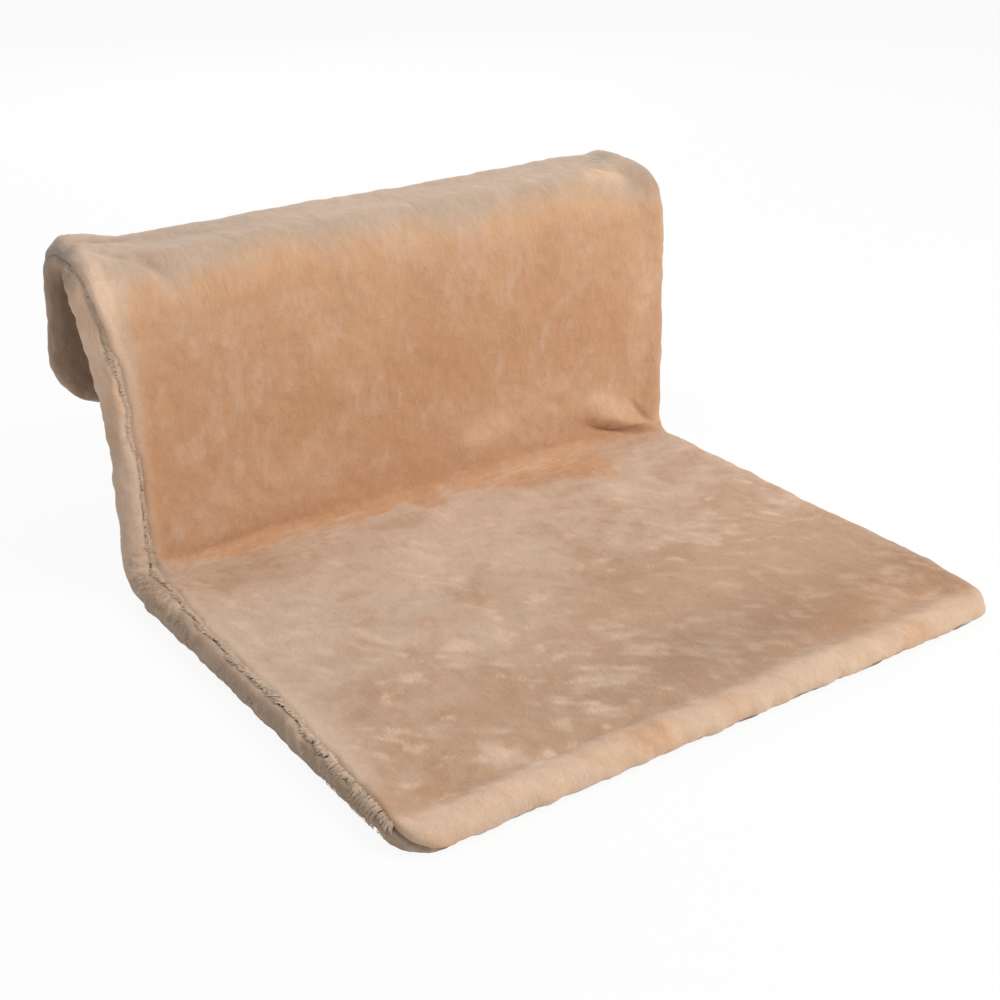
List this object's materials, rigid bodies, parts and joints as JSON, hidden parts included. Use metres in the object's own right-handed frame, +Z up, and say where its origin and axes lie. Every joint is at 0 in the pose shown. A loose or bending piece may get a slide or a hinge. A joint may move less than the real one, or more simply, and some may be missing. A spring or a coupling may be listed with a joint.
{
  "type": "cat radiator bed",
  "caption": "Plush cat bed that hooks over a radiator: bent tube frame with seat, backrest and rear flap inside a zipped cover.",
  "frame": {"origin": "centre of the overall box's base, on the floor under the middle of the bed", "axes": "+X along the radiator, to the right of someone who faces the seat; +Y from the front edge of the seat to the flap behind the radiator; +Z up"},
  "size_m": [0.46, 0.459, 0.226],
  "materials": {
    "frame_tube": "white powder coat, satin",
    "saddle_plastic": "moulded, fine grain",
    "zinc": "zinc plated",
    "spring_steel": "bright spring steel",
    "plush": "short beige and tan plush pile, mottled",
    "plush_lining": "short beige plush pile, shaded",
    "zip_tape": "woven polyester tape",
    "zip_coil": "nylon coil",
    "zip_metal": "antique brass, worn"
  },
  "bodies": {
    "frame_and_cover": {"seat_frame": "frame_tube", "hook_frame": "frame_tube", "crease_bar": "frame_tube", "bar_saddles": "saddle_plastic", "bar_inserts": "zinc", "bar_screws": "zinc", "snap_spring_left": "spring_steel", "snap_spring_right": "spring_steel", "cover_front": "plush", "cover_underside": "plush_lining", "cover_rear": "plush_lining", "zip_tape_upper": "zip_tape", "zip_tape_lower": "zip_tape", "zip_coil_upper": "zip_coil", "zip_coil_lower": "zip_coil", "zip_stops": "zip_metal"},
    "snap_button_left": {"snap_button_left": "spring_steel"},
    "snap_button_right": {"snap_button_right": "spring_steel"},
    "zip_slider": {"zip_slider": "zip_metal"},
    "zip_pull": {"zip_pull": "zip_metal"}
  },
  "joints": [
    {"name": "button_left_push", "type": "slide", "parent": "frame_and_cover", "child": "snap_button_left", "axis": [0, -0.9992, 0.0401], "range_m": [0, 0.0025], "stiffness_N_per_m": 800, "springref_m": -0.004, "deforming": ["snap_spring_left"]},
    {"name": "button_right_push", "type": "slide", "parent": "frame_and_cover", "child": "snap_button_right", "axis": [0, -0.9992, 0.0401], "range_m": [0, 0.0025], "stiffness_N_per_m": 800, "springref_m": -0.004, "deforming": ["snap_spring_right"]},
    {"name": "zip_slide", "type": "slide", "parent": "frame_and_cover", "child": "zip_slider", "axis": [1, 0, 0], "range_m": [0, 0.368]},
    {"name": "zip_pull_turn", "type": "hinge", "parent": "zip_slider", "child": "zip_pull", "pos_m": [-0.184, 0.13051, 0.05801], "axis": [0, 0.0401, 0.9992], "range_deg": [0, 170]}
  ]
}
